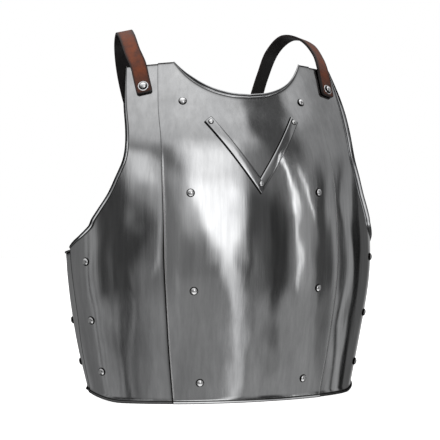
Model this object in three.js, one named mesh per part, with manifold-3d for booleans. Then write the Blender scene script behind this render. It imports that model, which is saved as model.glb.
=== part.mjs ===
// Steel cuirass breastplate with two leather shoulder straps.
// Millimetres and degrees. +X is the wearer's left, the front faces -Y, +Z is up.
// A point on the plate is given by its turn (0 at the centre front, 90 at the side) and its height.
import * as THREE from 'three';
import { mergeVertices } from 'three/addons/utils/BufferGeometryUtils.js';
import Module from 'manifold-3d';

const wasm = await Module();
wasm.setup();

// Driving dimensions of the body form
const plateHeight = 418;
const chestHalfWidth = 210;
const chestDepth = 130;
const neckSetback = 60;
const backReach = 1.7; // back of the wearer, in chest depths

// Sheet steel, its turned edges and the room between layers
const sheetWall = 1.2;
const layerGap = 0.55;
const bendRadius = 1.8;
const neckFlange = 5.2;
const neckFlangeShares = [0.3, 0.75];
const armFlange = 4.6;
const flangeAngle = 84;
const lipRise = 5;
const lipFlare = 2.8;
const lipCurve = 1.5;
const mitreLimit = 0.8; // least cosine that a wall's corner is mitred by

// Where the plates end
const neckTurn = 21.2;
const neckDrop = 45;
const shoulderTurn = 36.2;
const shoulderDrop = 5;
const centreSeamTurn = 34;
const sideSeamTurn = 84;
const sideOverlap = 36;
const pitHeight = 189;
const hemRise = 12;
const hemFlatTurn = 58;
const hemHighTurn = 96;
const underarmDrop = 5;
const rearTurn = 118;
const neckBase = 0.7; // share of the height where the rows start to follow the neck

// Rivets
const rivetHead = 9.3;
const rivetDome = 3.1;
const rivetShank = 3.8;
const rivetTail = 7;
const tailDome = 1.2;
const tailTaper = 0.7;
const tailSeat = 0.8;
const holeRoom = 0.4;
const centreRivetInset = 33;
const centreRivetMargin = 5; // from a rivet's middle to the tucked edge of the side plate
const sideRivetInset = 25;
const rearRivetTurn = 102.5;
const strapRivetInset = 22;
const strapRivetDrop = 31.5; // below the top of the plates

// The V-shaped rib and its small rivets
const ribTipHeight = 256;
const ribArmLength = 99.5;
const ribLean = 35.4;
const ribWidth = 11;
const ribThickness = 2.8;
const ribChamfer = 0.5;
const ribSeat = 0.6;
const ribRivetHead = 5.8;
const ribRivetDome = 1.7;
const ribRivetShank = 2.6;
const ribRivetTail = 5.6;
const ribRivetInset = 5;
const ribTipInset = 0.25; // of the rib's width

// Leather straps and their washers
const strapWidth = 20;
const strapThickness = 3;
const strapSeat = 0.7;
const strapRearSeat = 0.8;
const strapTab = 7.6;
const strapCorner = 3.4;
const loopRise = 42;
const strapCrossing = 4.6;
const washerDiameter = 13.2;
const washerThickness = 1;
const washerChamfer = 0.3;

// Steps of the faceted surfaces
const neckSteps = 7;
const centreRows = 19;
const shoulderSteps = 2;
const sideSteps = 13;
const lowRows = 10;
const highRows = 12;
const bendSteps = 2;
const roundSteps = 8;
const strapSteps = 2;
const ribSteps = 6;
const hiddenSteps = 3;
const underarmSteps = 6;
const armholeCrowding = 1.4; // rows lie closer together at the pit
const shoulderBlend = 6; // power by which the rows take up the shoulder's fall
const strapEndStep = 0.3; // first and last step of a strap, as a share of the others

const rad = THREE.MathUtils.degToRad;

// Sections of the body form: shares of the height, half width, depth and setback
const sectionRows = [
  { height: 0.00, width: 0.85, depth: 0.75, setback: 0.47, squareness: 0.08 },
  { height: 0.18, width: 0.93, depth: 0.88, setback: 0.25, squareness: 0.14 },
  { height: 0.38, width: 0.99, depth: 0.96, setback: 0.03, squareness: 0.20 },
  { height: 0.58, width: 1.00, depth: 1.00, setback: 0.02, squareness: 0.27 },
  { height: 0.76, width: 1.05, depth: 1.01, setback: 0.22, squareness: 0.31 },
  { height: 0.88, width: 1.10, depth: 1.02, setback: 0.60, squareness: 0.35 },
  { height: 1.00, width: 1.12, depth: 1.07, setback: 1.00, squareness: 0.39 },
];

// Seam between centre and side plates: share of its turn, how much further out it runs on the
// wearer's right, and how much of the overlap is tucked
const centreSeamRows = [
  { height: 0.00, turn: 0.98, skew: -0.010, tuck: 1.0 },
  { height: 0.22, turn: 0.99, skew: -0.015, tuck: 1.0 },
  { height: 0.48, turn: 1.00, skew: -0.010, tuck: 1.0 },
  { height: 0.61, turn: 0.98, skew: 0.000, tuck: 1.0 },
  { height: 0.70, turn: 0.93, skew: 0.020, tuck: 1.0 },
  { height: 0.82, turn: 0.84, skew: 0.045, tuck: 0.93 },
  { height: 0.90, turn: 0.80, skew: 0.030, tuck: 0.9 },
  { height: 1.00, turn: 0.76, skew: 0.005, tuck: 0.3 },
];

// Seam between side and underarm plates
const sideSeamRows = [
  { height: 0.00, turn: 1.03 },
  { height: 0.15, turn: 1.00 },
  { height: 0.25, turn: 0.98 },
  { height: 0.46, turn: 1.00 },
];

// Armhole edge, from the pit (rise 0) to the shoulder (rise 1)
const armholeRows = [
  { rise: 0.00, turn: 1.000 },
  { rise: 0.03, turn: 0.930 },
  { rise: 0.06, turn: 0.860 },
  { rise: 0.11, turn: 0.780 },
  { rise: 0.15, turn: 0.752 },
  { rise: 0.20, turn: 0.709 },
  { rise: 0.28, turn: 0.644 },
  { rise: 0.37, turn: 0.590 },
  { rise: 0.48, turn: 0.533 },
  { rise: 0.63, turn: 0.495 },
  { rise: 0.80, turn: 0.465 },
  { rise: 1.00, turn: 0.431 },
];

// Neck edge, from the centre to its corner: share of the drop that is left
const neckRows = [
  { across: 0.00, drop: 1.00 },
  { across: 0.24, drop: 0.96 },
  { across: 0.43, drop: 0.87 },
  { across: 0.58, drop: 0.75 },
  { across: 0.70, drop: 0.61 },
  { across: 0.82, drop: 0.42 },
  { across: 0.91, drop: 0.23 },
  { across: 1.00, drop: 0.00 },
];

// Rivet rows: share of the height, share of the inset from the seam
const centreRivetRows = [
  { height: 0.883, inset: 0.89 },
  { height: 0.615, inset: 1.00 },
  { height: 0.332, inset: 1.00 },
  { height: 0.062, inset: 1.00 },
];
const sideRivetRows = [
  { height: 0.414, inset: 1.00 },
  { height: 0.241, inset: 0.90 },
  { height: 0.090, inset: 1.10 },
];
const rearRivetRows = [
  { height: 0.234, onStrap: true },
  { height: 0.109, onStrap: false },
];

// Profile of a rivet head, from its rim to its top
const domeRows = [
  { across: 1.00, up: 0.00 },
  { across: 0.72, up: 0.70 },
  { across: 0.00, up: 1.00 },
];

// Free run of a strap, over the shoulder and down across the back, as shares of the half width,
// the back line, the plate's height and the loop's rise, with the way that its outer face looks
const strapRows = [
  { across: 0.605, back: 0.490, up: 1.00, rise: 0.31, faceX: 0.45, faceY: -0.75, faceZ: 0.45 },
  { across: 0.590, back: 0.615, up: 1.00, rise: 0.80, faceX: 0.35, faceY: -0.45, faceZ: 0.80 },
  { across: 0.545, back: 0.800, up: 1.00, rise: 1.00, faceX: 0.20, faceY: 0.00, faceZ: 1.00 },
  { across: 0.505, back: 0.930, up: 1.00, rise: 0.58, faceX: -0.10, faceY: 0.70, faceZ: 0.70 },
  { across: 0.465, back: 0.990, up: 0.98, rise: 0.00, faceX: -0.35, faceY: 1.00, faceZ: 0.20 },
  { across: 0.400, back: 1.010, up: 0.87, rise: 0.00, faceX: -0.30, faceY: 1.00, faceZ: 0.00 },
  { across: 0.260, back: 1.015, up: 0.72, rise: 0.00, faceX: -0.05, faceY: 1.00, faceZ: 0.00 },
  { across: 0.000, back: 1.015, up: 0.52, rise: 0.00, faceX: 0.00, faceY: 1.00, faceZ: 0.00 },
  { across: -0.290, back: 0.990, up: 0.39, rise: 0.00, faceX: -0.30, faceY: 1.00, faceZ: 0.00 },
  { across: -0.550, back: 0.920, up: 0.32, rise: 0.00, faceX: -0.60, faceY: 0.80, faceZ: 0.00 },
  { across: -0.735, back: 0.835, up: 0.28, rise: 0.00, faceX: -0.80, faceY: 0.55, faceZ: 0.00 },
];

// Places where a strap lies on a plate: turn past its rivet, and share of the strap's drop there
const strapRearRows = [
  { turn: 12.5, up: 1.00 },
  { turn: 6.5, up: 0.50 },
  { turn: 0.0, up: 0.00 },
  { turn: -5.5, up: -0.42 },
];
const strapRearDrop = 14;

// Value of a column at a place along a table, on a smooth curve through its rows
function along(rows, key, value, place) {
  const last = rows.length - 1;
  const slope = (i) => {
    const before = rows[Math.max(i - 1, 0)];
    const after = rows[Math.min(i + 1, last)];
    return (after[value] - before[value]) / (after[key] - before[key]);
  };
  let i = 0;
  while (i < last - 1 && rows[i + 1][key] < place) {
    i += 1;
  }
  const span = rows[i + 1][key] - rows[i][key];
  const s = THREE.MathUtils.clamp((place - rows[i][key]) / span, 0, 1);
  const start = (1 + 2 * s) * (1 - s) ** 2 * rows[i][value];
  const end = s * s * (3 - 2 * s) * rows[i + 1][value];
  const bend = s * (1 - s) ** 2 * span * slope(i) + s * s * (s - 1) * span * slope(i + 1);
  return start + end + bend;
}

// Outer face of the body form
function formPoint(turn, up) {
  const share = up / plateHeight;
  const width = chestHalfWidth * along(sectionRows, 'height', 'width', share);
  const depth = chestDepth * along(sectionRows, 'height', 'depth', share);
  const setback = neckSetback * along(sectionRows, 'height', 'setback', share);
  const squareness = along(sectionRows, 'height', 'squareness', share);
  const sine = Math.sin(rad(turn));
  const cosine = Math.cos(rad(turn)) * (1 - squareness * sine * sine);
  return new THREE.Vector3(width * sine, setback + depth * (1 - cosine), up);
}

// Outward direction of the form, from two short steps along it
function formNormal(turn, up) {
  const turnStep = 0.5;
  const upStep = up > plateHeight / 2 ? -2 : 2;
  const here = formPoint(turn, up);
  const aside = formPoint(turn + turnStep, up).sub(here);
  const above = formPoint(turn, up + upStep).sub(here).multiplyScalar(Math.sign(upStep));
  return aside.cross(above).normalize();
}

function skin(turn, up, lift) {
  return formPoint(turn, up).addScaledVector(formNormal(turn, up), lift);
}

// Turn that lies a distance along the form from another turn
function turnBy(turn, up, distance) {
  const perDegree = formPoint(turn + 0.5, up).distanceTo(formPoint(turn - 0.5, up));
  return turn + distance / perDegree;
}

// Layers: the centre plate outside, the side plates under it, the underarm plates under those
const layerStep = sheetWall + layerGap;
const sideLift = -layerStep;
const underarmLift = -2 * layerStep;

// Side is 1 on the wearer's left and -1 on the right
function centreSeam(up, side) {
  const share = up / plateHeight;
  const skew = side * along(centreSeamRows, 'height', 'skew', share);
  return centreSeamTurn * (along(centreSeamRows, 'height', 'turn', share) - skew);
}

function centreTuck(up, side) {
  const tuck = along(centreSeamRows, 'height', 'tuck', up / plateHeight);
  return turnBy(centreSeam(up, side), up, -(centreRivetInset + centreRivetMargin) * tuck);
}

function sideSeam(up) {
  return sideSeamTurn * along(sideSeamRows, 'height', 'turn', up / plateHeight);
}

function armhole(up) {
  const rise = (up - pitHeight) / (plateHeight - pitHeight);
  return sideSeamTurn * along(armholeRows, 'rise', 'turn', rise);
}

// How far the shoulder edge falls towards the arm
function shoulderFall(turn) {
  const share = (turn - neckTurn) / (shoulderTurn - neckTurn);
  return shoulderDrop * THREE.MathUtils.clamp(share, 0, 1);
}

// The lower edge lies flat at the front and is cut higher under the arms
function hemHeight(turn) {
  return hemRise * THREE.MathUtils.smoothstep(Math.abs(turn), hemFlatTurn, hemHighTurn);
}

// Outward lean of the bottom lip at a height
function lipLean(up) {
  return lipFlare * Math.max(0, 1 - up / lipRise) ** lipCurve;
}

// A point of a plate, with the bottom lip leaning out and its lowest edge ground level
function platePoint(turn, up, lift) {
  const hem = hemHeight(turn) * Math.max(0, 1 - up / pitHeight);
  const point = skin(turn, up + hem, lift);
  const level = formNormal(turn, up + hem).setZ(0).normalize();
  point.addScaledVector(level, lipLean(up));
  if (up === 0) {
    point.z = hem;
  }
  return point;
}

// A sheet is a grid of points with four-sided faces, before it gets its wall
function sheetGrid(columns, rows, place) {
  const at = (column, row) => row * (columns + 1) + column;
  const sheet = { points: [], quads: [], at, lowest: columns };
  for (let row = 0; row <= rows; row += 1) {
    for (let column = 0; column <= columns; column += 1) {
      sheet.points.push(place(column, row));
    }
  }
  for (let row = 0; row < rows; row += 1) {
    for (let column = 0; column < columns; column += 1) {
      const corners = [
        sheet.at(column, row),
        sheet.at(column + 1, row),
        sheet.at(column + 1, row + 1),
        sheet.at(column, row + 1),
      ];
      sheet.quads.push(corners);
    }
  }
  return sheet;
}

// Normal of a sheet at each point, from the faces around it
function sheetNormals(sheet) {
  const normals = sheet.points.map(() => new THREE.Vector3());
  for (const quad of sheet.quads) {
    const [a, b, c, d] = quad.map((corner) => sheet.points[corner]);
    const across = c.clone().sub(a);
    const face = across.cross(d.clone().sub(b)).normalize();
    quad.forEach((corner) => normals[corner].add(face));
  }
  return normals.map((normal) => normal.normalize());
}

// Turns an edge of a sheet outwards over a bend: the edge runs with the plate on its right.
// Shares make the turned edge narrower at its first and last points.
function turnOut(sheet, edge, reach, shares = []) {
  const normals = sheetNormals(sheet);
  const count = edge.length;
  let previous = edge;
  for (let step = 1; step <= bendSteps + 1; step += 1) {
    const bend = rad(flangeAngle) * Math.min(step / bendSteps, 1);
    const leg = step > bendSteps ? reach - bendRadius : 0;
    const out = bendRadius * Math.sin(bend) + leg * Math.cos(bend);
    const lift = bendRadius * (1 - Math.cos(bend)) + leg * Math.sin(bend);
    const next = edge.map((corner, i) => {
      const before = sheet.points[edge[Math.max(i - 1, 0)]];
      const after = sheet.points[edge[Math.min(i + 1, count - 1)]];
      const away = normals[corner].clone().cross(after.clone().sub(before)).normalize();
      const share = shares[Math.min(i, count - 1 - i)] ?? 1;
      const point = sheet.points[corner].clone();
      point.addScaledVector(away, share * out).addScaledVector(normals[corner], share * lift);
      sheet.points.push(point);
      return sheet.points.length - 1;
    });
    for (let i = 0; i < count - 1; i += 1) {
      sheet.quads.push([previous[i], previous[i + 1], next[i + 1], next[i]]);
    }
    previous = next;
  }
}

// Gives a sheet its wall, inwards, and closes its edges
function thicken(sheet, wall) {
  const normals = sheetNormals(sheet);
  const mitre = sheet.points.map(() => []);
  for (const quad of sheet.quads) {
    const [a, b, c, d] = quad.map((corner) => sheet.points[corner]);
    const face = c.clone().sub(a).cross(d.clone().sub(b)).normalize();
    quad.forEach((corner) => mitre[corner].push(face.dot(normals[corner])));
  }
  const count = sheet.points.length;
  const positions = sheet.points.flatMap((point) => point.toArray());
  sheet.points.forEach((point, i) => {
    const inset = wall / Math.max(Math.min(...mitre[i]), mitreLimit);
    const inner = point.clone().addScaledVector(normals[i], -inset);
    if (i <= sheet.lowest) {
      inner.z = point.z;
    }
    positions.push(...inner.toArray());
  });
  const faces = [];
  const edges = new Map();
  for (const [a, b, c, d] of sheet.quads) {
    faces.push(a, b, c, a, c, d);
    faces.push(a + count, c + count, b + count, a + count, d + count, c + count);
    [[a, b], [b, c], [c, d], [d, a]].forEach(([from, to]) => edges.set(`${from}_${to}`, [from, to]));
  }
  for (const [from, to] of edges.values()) {
    if (!edges.has(`${to}_${from}`)) {
      faces.push(from, from + count, to + count, from, to + count, to);
    }
  }
  return solidFrom(positions, faces);
}

// Mirrors a sheet to the wearer's right
function mirrored(sheet) {
  return {
    points: sheet.points.map((point) => new THREE.Vector3(-point.x, point.y, point.z)),
    quads: sheet.quads.map((quad) => [...quad].reverse()),
    lowest: sheet.lowest,
  };
}

function solidFrom(positions, faces) {
  const mesh = new wasm.Mesh({
    numProp: 3,
    vertProperties: new Float32Array(positions),
    triVerts: new Uint32Array(faces),
  });
  return new wasm.Manifold(mesh);
}

// Closed geometry to a solid: only positions are kept, and flattened triangles are dropped
function solidOf(geometry) {
  geometry.deleteAttribute('normal');
  geometry.deleteAttribute('uv');
  const merged = mergeVertices(geometry, 1e-4);
  const index = merged.getIndex().array;
  const faces = [];
  for (let i = 0; i < index.length; i += 3) {
    const [a, b, c] = index.slice(i, i + 3);
    if (a !== b && b !== c && c !== a) {
      faces.push(a, b, c);
    }
  }
  return solidFrom(merged.getAttribute('position').array, faces);
}

function geometryOf(solid) {
  const mesh = solid.getMesh();
  const geometry = new THREE.BufferGeometry();
  geometry.setAttribute('position', new THREE.BufferAttribute(mesh.vertProperties, 3));
  geometry.setIndex(new THREE.BufferAttribute(mesh.triVerts, 1));
  geometry.computeVertexNormals();
  return geometry;
}

// Joins rings of points into one closed body
function loft(rings) {
  const size = rings[0].length;
  const positions = rings.flat().flatMap((point) => point.toArray());
  const faces = [];
  for (let ring = 0; ring < rings.length - 1; ring += 1) {
    for (let i = 0; i < size; i += 1) {
      const here = ring * size + i;
      const beside = ring * size + ((i + 1) % size);
      faces.push(here, beside + size, beside, here, here + size, beside + size);
    }
  }
  const end = (rings.length - 1) * size;
  for (let i = 1; i < size - 1; i += 1) {
    faces.push(0, i, i + 1);
    faces.push(end, end + i + 1, end + i);
  }
  return solidFrom(positions, faces);
}

// Rivet places. Side is 1 on the wearer's left, -1 on the right, 0 at the centre.
const rivets = [];
const standardRivet = { head: rivetHead, dome: rivetDome, shank: rivetShank, tail: rivetTail };
const smallRivet = {
  head: ribRivetHead,
  dome: ribRivetDome,
  shank: ribRivetShank,
  tail: ribRivetTail,
};
const sideNames = { 1: 'left', [-1]: 'right', 0: 'tip' };
const sides = [1, -1];
const sideSheetInner = sideLift - sheetWall - tailSeat;
const underarmInner = underarmLift - sheetWall - tailSeat;
const strapRivetHeight = plateHeight - strapRivetDrop;
const strapBase = sideLift + strapSeat;
const strapTop = strapBase + strapThickness;
const strapRearLift = underarmLift - sheetWall - strapRearSeat - strapThickness / 2;

for (const side of sides) {
  const name = sideNames[side];
  centreRivetRows.forEach((row, i) => {
    const up = row.height * plateHeight;
    const turn = turnBy(centreSeam(up, side), up, -centreRivetInset * row.inset);
    const through = ['centre_plate', `side_plate_${name}`];
    const seats = { top: layerGap, under: sideSheetInner, ...standardRivet };
    rivets.push({ name: `centre_rivet_${name}_${i + 1}`, side, turn, up, through, ...seats });
  });
  sideRivetRows.forEach((row, i) => {
    const up = row.height * plateHeight;
    const turn = turnBy(sideSeam(up), up, -sideRivetInset * row.inset);
    const through = [`side_plate_${name}`, `underarm_plate_${name}`];
    const seats = { top: sideLift + layerGap, under: underarmInner, ...standardRivet };
    rivets.push({ name: `side_rivet_${name}_${i + 1}`, side, turn, up, through, ...seats });
  });
  rearRivetRows.forEach((row, i) => {
    const up = row.height * plateHeight;
    const through = [`underarm_plate_${name}`];
    const seats = { top: underarmLift + layerGap, under: underarmInner, ...standardRivet };
    if (row.onStrap) {
      through.push(`shoulder_strap_${sideNames[-side]}`);
      seats.under = strapRearLift - strapThickness / 2 - tailSeat;
    }
    const turn = rearRivetTurn;
    rivets.push({ name: `rear_rivet_${name}_${i + 1}`, side, turn, up, through, ...seats });
  });
  const strapRivet = {
    name: `strap_rivet_${name}`,
    side,
    turn: turnBy(armhole(strapRivetHeight), strapRivetHeight, -strapRivetInset),
    up: strapRivetHeight,
    through: [`side_plate_${name}`, `shoulder_strap_${name}`],
    top: strapTop + washerThickness + 2 * layerGap,
    under: sideSheetInner,
  };
  rivets.push({ ...strapRivet, ...standardRivet });
}

// The rib's middle line: the arm's direction in the XZ plane, and where the mitre's middle is
const ribMiddle = ribTipHeight + ribWidth / 2 / Math.sin(rad(ribLean));
const ribTop = ribSeat + ribThickness;

// Turn of the form at a distance from the centre line
function turnAt(across, up) {
  const width = chestHalfWidth * along(sectionRows, 'height', 'width', up / plateHeight);
  return THREE.MathUtils.radToDeg(Math.asin(across / width));
}

function ribCentre(distance) {
  const up = ribMiddle + distance * Math.cos(rad(ribLean));
  return { turn: turnAt(distance * Math.sin(rad(ribLean)), up), up };
}

const ribSeats = {
  through: ['v_rib', 'centre_plate'],
  top: ribTop + layerGap,
  under: -sheetWall - tailSeat,
  ...smallRivet,
};
for (const side of [...sides, 0]) {
  const place = ribCentre(side === 0 ? ribWidth * ribTipInset : ribArmLength - ribRivetInset);
  const spot = side === 0 ? { turn: 0, up: place.up } : place;
  rivets.push({ name: `v_rivet_${sideNames[side]}`, side: side || 1, ...spot, ...ribSeats });
}

// Place and direction of a rivet, with its own +Y axis along the outward direction
function rivetFrame(rivet) {
  const position = formPoint(rivet.turn, rivet.up);
  const normal = formNormal(rivet.turn, rivet.up);
  position.x *= rivet.side;
  normal.x *= rivet.side;
  const quaternion = new THREE.Quaternion().setFromUnitVectors(new THREE.Vector3(0, 1, 0), normal);
  return { position, quaternion };
}

function rivetGeometry(rivet) {
  const head = rivet.head / 2;
  const shank = rivet.shank / 2;
  const tail = rivet.tail / 2;
  const profile = [
    new THREE.Vector2(0, rivet.under - tailDome),
    new THREE.Vector2(tail * tailTaper, rivet.under - tailDome),
    new THREE.Vector2(tail, rivet.under),
    new THREE.Vector2(shank, rivet.under),
    new THREE.Vector2(shank, rivet.top),
    ...domeRows.map((row) => new THREE.Vector2(head * row.across, rivet.top + rivet.dome * row.up)),
  ];
  return geometryOf(solidOf(new THREE.LatheGeometry(profile, roundSteps)));
}

// Takes the rivet holes out of a piece
function pierced(solid, name) {
  let result = solid;
  for (const rivet of rivets.filter((each) => each.through.includes(name))) {
    const { position, quaternion } = rivetFrame(rivet);
    const length = rivet.top - rivet.under + 2 * rivetDome;
    const radius = rivet.shank / 2 + holeRoom;
    const cutter = new THREE.CylinderGeometry(radius, radius, length, roundSteps);
    cutter.translate(0, (rivet.top + rivet.under) / 2, 0);
    cutter.applyQuaternion(quaternion);
    cutter.translate(position.x, position.y, position.z);
    result = result.subtract(solidOf(cutter));
  }
  return result;
}

// Heights of a plate's rows: two close rows for the bottom lip, then even ones
function rowHeight(row, rows, top) {
  if (row < 2) {
    return (row * lipRise) / 2;
  }
  return lipRise + ((top - lipRise) * (row - 2)) / (rows - 2);
}

function centrePlate() {
  const half = neckSteps + shoulderSteps;
  const base = neckBase * plateHeight;
  const place = (column, row) => {
    const step = column - half;
    const neckShare = Math.min(Math.abs(step) / neckSteps, 1);
    const shoulderShare = Math.max(Math.abs(step) - neckSteps, 0) / shoulderSteps;
    const side = step < 0 ? -1 : 1;
    const topSeam = centreSeam(plateHeight, side);
    const topTurn = neckTurn * neckShare + (topSeam - neckTurn) * shoulderShare;
    const drop = neckDrop * along(neckRows, 'across', 'drop', neckShare);
    const top = plateHeight - drop - shoulderFall(topTurn);
    const even = rowHeight(row, centreRows, plateHeight);
    const high = Math.max(0, (even - base) / (plateHeight - base));
    const up = Math.min(even, base) + (top - base) * high;
    return platePoint(side * (topTurn / topSeam) * centreSeam(up, side), up, 0);
  };
  const sheet = sheetGrid(2 * half, centreRows, place);
  const edge = [];
  for (let column = shoulderSteps; column <= 2 * half - shoulderSteps; column += 1) {
    edge.push(sheet.at(column, centreRows));
  }
  turnOut(sheet, edge, neckFlange, neckFlangeShares);
  return sheet;
}

function sidePlate(side) {
  const place = (column, row) => {
    const rise = Math.max(0, (row - lowRows) / highRows) ** armholeCrowding;
    const even = row > lowRows ? pitHeight : rowHeight(row, lowRows, pitHeight);
    const up = even + rise * (plateHeight - pitHeight);
    const inner = centreTuck(up, side);
    const outer = row < lowRows ? sideSeam(up) : armhole(up);
    const turn = inner + ((outer - inner) * column) / sideSteps;
    return platePoint(turn, up - shoulderFall(turn) * rise ** shoulderBlend, sideLift);
  };
  const sheet = sheetGrid(sideSteps, lowRows + highRows, place);
  const edge = [];
  for (let row = lowRows + highRows; row >= lowRows; row -= 1) {
    edge.push(sheet.at(sideSteps, row));
  }
  turnOut(sheet, edge, armFlange);
  return sheet;
}

function underarmPlate() {
  const seamTurn = sideSeam(pitHeight);
  const tuckTurn = turnBy(seamTurn, pitHeight, -sideOverlap);
  const flangeTurn = turnBy(seamTurn, pitHeight, bendRadius + sheetWall + layerGap);
  const topHeight = pitHeight - bendRadius - sheetWall - 2 * layerGap;
  const place = (column, row) => {
    const hiddenShare = Math.min(column / hiddenSteps, 1);
    const shownShare = Math.max(column - hiddenSteps, 0) / underarmSteps;
    const hiddenTurn = tuckTurn + (flangeTurn - tuckTurn) * hiddenShare;
    const turn = hiddenTurn + (rearTurn - flangeTurn) * shownShare;
    const top = topHeight - underarmDrop * Math.min(1, 2 * shownShare);
    return platePoint(turn, rowHeight(row, lowRows, top), underarmLift);
  };
  const columns = hiddenSteps + underarmSteps;
  const sheet = sheetGrid(columns, lowRows, place);
  const edge = [];
  for (let column = hiddenSteps; column <= columns; column += 1) {
    edge.push(sheet.at(column, lowRows));
  }
  turnOut(sheet, edge, armFlange);
  return sheet;
}

// One ring of the rib: a chamfered bar lying on the form
function ribRing(across, up, widthX, widthZ) {
  const flat = 1 - (2 * ribChamfer) / ribWidth;
  const outline = [
    { side: -1, lift: ribSeat },
    { side: 1, lift: ribSeat },
    { side: 1, lift: ribTop - ribChamfer },
    { side: flat, lift: ribTop },
    { side: -flat, lift: ribTop },
    { side: -1, lift: ribTop - ribChamfer },
  ];
  return outline.map(({ side, lift }) => {
    const height = up + side * widthZ;
    return skin(turnAt(across + side * widthX, height), height, lift);
  });
}

function vRib() {
  const sine = Math.sin(rad(ribLean));
  const cosine = Math.cos(rad(ribLean));
  const half = ribWidth / 2;
  const rings = [];
  for (let step = -ribSteps; step <= ribSteps; step += 1) {
    const distance = (step / ribSteps) * ribArmLength;
    const widthX = Math.sign(step) * half * cosine;
    const widthZ = step === 0 ? -half / sine : -half * sine;
    rings.push(ribRing(distance * sine, ribMiddle + Math.abs(distance) * cosine, widthX, widthZ));
  }
  return loft(rings);
}

// Middle line and outer direction of the strap that starts on the wearer's left.
// Crossing is 1 for the strap that lies outside where the two cross, -1 for the other.
function strapStations(crossing) {
  const front = rivets.find((rivet) => rivet.name === 'strap_rivet_left');
  const rear = rivets.find((rivet) => rivet.name === 'rear_rivet_right_1');
  const stations = [];
  const middle = strapBase + strapThickness / 2;
  const edgeHeight = plateHeight - shoulderDrop;
  for (const up of [front.up - strapTab, front.up, (front.up + edgeHeight) / 2, edgeHeight]) {
    stations.push({ point: skin(front.turn, up, middle), face: formNormal(front.turn, up) });
  }
  for (const row of strapRows) {
    const crossShare = Math.max(0, 1 - 2 * Math.abs(row.across)) / 2;
    const point = new THREE.Vector3(
      row.across * chestHalfWidth,
      row.back * chestDepth * backReach + crossing * crossShare * strapCrossing,
      row.up * plateHeight + row.rise * loopRise,
    );
    stations.push({ point, face: new THREE.Vector3(row.faceX, row.faceY, row.faceZ).normalize() });
  }
  for (const row of strapRearRows) {
    const turn = rear.turn + row.turn;
    const up = rear.up + row.up * strapRearDrop;
    const point = skin(turn, up, strapRearLift);
    const face = formNormal(turn, up);
    stations.push({ point: point.setX(-point.x), face: face.setX(-face.x) });
  }
  return stations;
}

// Four corners of a strap's section at a place from 0 to 1 along it
function strapRing(curve, stations, place) {
  const point = curve.getPoint(place);
  const spot = place * (stations.length - 1);
  const before = Math.min(Math.floor(spot), stations.length - 2);
  const face = stations[before].face.clone().lerp(stations[before + 1].face, spot - before);
  const across = curve.getTangent(place).cross(face).normalize();
  const outward = across.clone().cross(curve.getTangent(place)).normalize();
  const toEnd = Math.min(point.distanceTo(curve.getPoint(0)), point.distanceTo(curve.getPoint(1)));
  const cut = strapCorner - Math.min(toEnd, strapCorner);
  const half = strapWidth / 2 - strapCorner + Math.sqrt(strapCorner ** 2 - cut ** 2);
  const corners = [[-1, -1], [1, -1], [1, 1], [-1, 1]];
  return corners.map(([aside, out]) => {
    const corner = point.clone().addScaledVector(across, aside * half);
    return corner.addScaledVector(outward, (out * strapThickness) / 2);
  });
}

// A flat strap through its stations, with the corners of its two ends rounded
function shoulderStrap(side) {
  const stations = strapStations(side);
  const points = stations.map((station) => station.point);
  const curve = new THREE.CatmullRomCurve3(points, false, 'centripetal');
  const steps = (stations.length - 1) * strapSteps;
  const places = [0, strapEndStep / steps];
  for (let step = 1; step < steps; step += 1) {
    places.push(step / steps);
  }
  places.push(1 - strapEndStep / steps, 1);
  const rings = places.map((place) => strapRing(curve, stations, place));
  if (side < 0) {
    rings.forEach((ring) => ring.reverse().forEach((point) => point.setX(-point.x)));
  }
  return loft(rings);
}

function washerGeometry() {
  const hole = rivetShank / 2 + holeRoom;
  const low = strapTop + layerGap;
  const high = low + washerThickness;
  const profile = [
    new THREE.Vector2(hole, low),
    new THREE.Vector2(washerDiameter / 2, low),
    new THREE.Vector2(washerDiameter / 2, high - washerChamfer),
    new THREE.Vector2(washerDiameter / 2 - washerChamfer, high),
    new THREE.Vector2(hole, high),
    new THREE.Vector2(hole, low),
  ];
  return geometryOf(solidOf(new THREE.LatheGeometry(profile, 2 * roundSteps)));
}

const plateSteel = { color: 0x9b9ea2, roughness: 0.24, metalness: 1 };
const rivetSteel = { color: 0xb4b6b8, roughness: 0.2, metalness: 1 };
const leather = { color: 0x74391f, roughness: 0.55, metalness: 0 };
const breastplate = new THREE.Group();

function addPiece(name, geometry, look) {
  const piece = new THREE.Mesh(geometry, new THREE.MeshStandardMaterial(look));
  piece.name = name;
  breastplate.add(piece);
  return piece;
}

function placeOn(piece, rivet) {
  const { position, quaternion } = rivetFrame(rivet);
  piece.position.copy(position);
  piece.quaternion.copy(quaternion);
}

function addPlate(name, sheet) {
  addPiece(name, geometryOf(pierced(thicken(sheet, sheetWall), name)), plateSteel);
}

addPlate('centre_plate', centrePlate());
addPiece('v_rib', geometryOf(pierced(vRib(), 'v_rib')), plateSteel);
for (const side of sides) {
  const name = sideNames[side];
  const hand = (sheet) => (side > 0 ? sheet : mirrored(sheet));
  addPlate(`side_plate_${name}`, hand(sidePlate(side)));
  addPlate(`underarm_plate_${name}`, hand(underarmPlate()));
  const strapName = `shoulder_strap_${name}`;
  addPiece(strapName, geometryOf(pierced(shoulderStrap(side), strapName)), leather);
  const washer = addPiece(`strap_washer_${name}`, washerGeometry(), rivetSteel);
  placeOn(washer, rivets.find((rivet) => rivet.name === `strap_rivet_${name}`));
}
for (const rivet of rivets) {
  placeOn(addPiece(rivet.name, rivetGeometry(rivet), rivetSteel), rivet);
}

// The origin is the middle of the bounding box's bottom
const box = new THREE.Box3().setFromObject(breastplate, true);
const middle = box.getCenter(new THREE.Vector3());
breastplate.position.set(-middle.x, -middle.y, -box.min.z);
breastplate.updateMatrixWorld(true);

export default breastplate;
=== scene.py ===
import math

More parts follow.
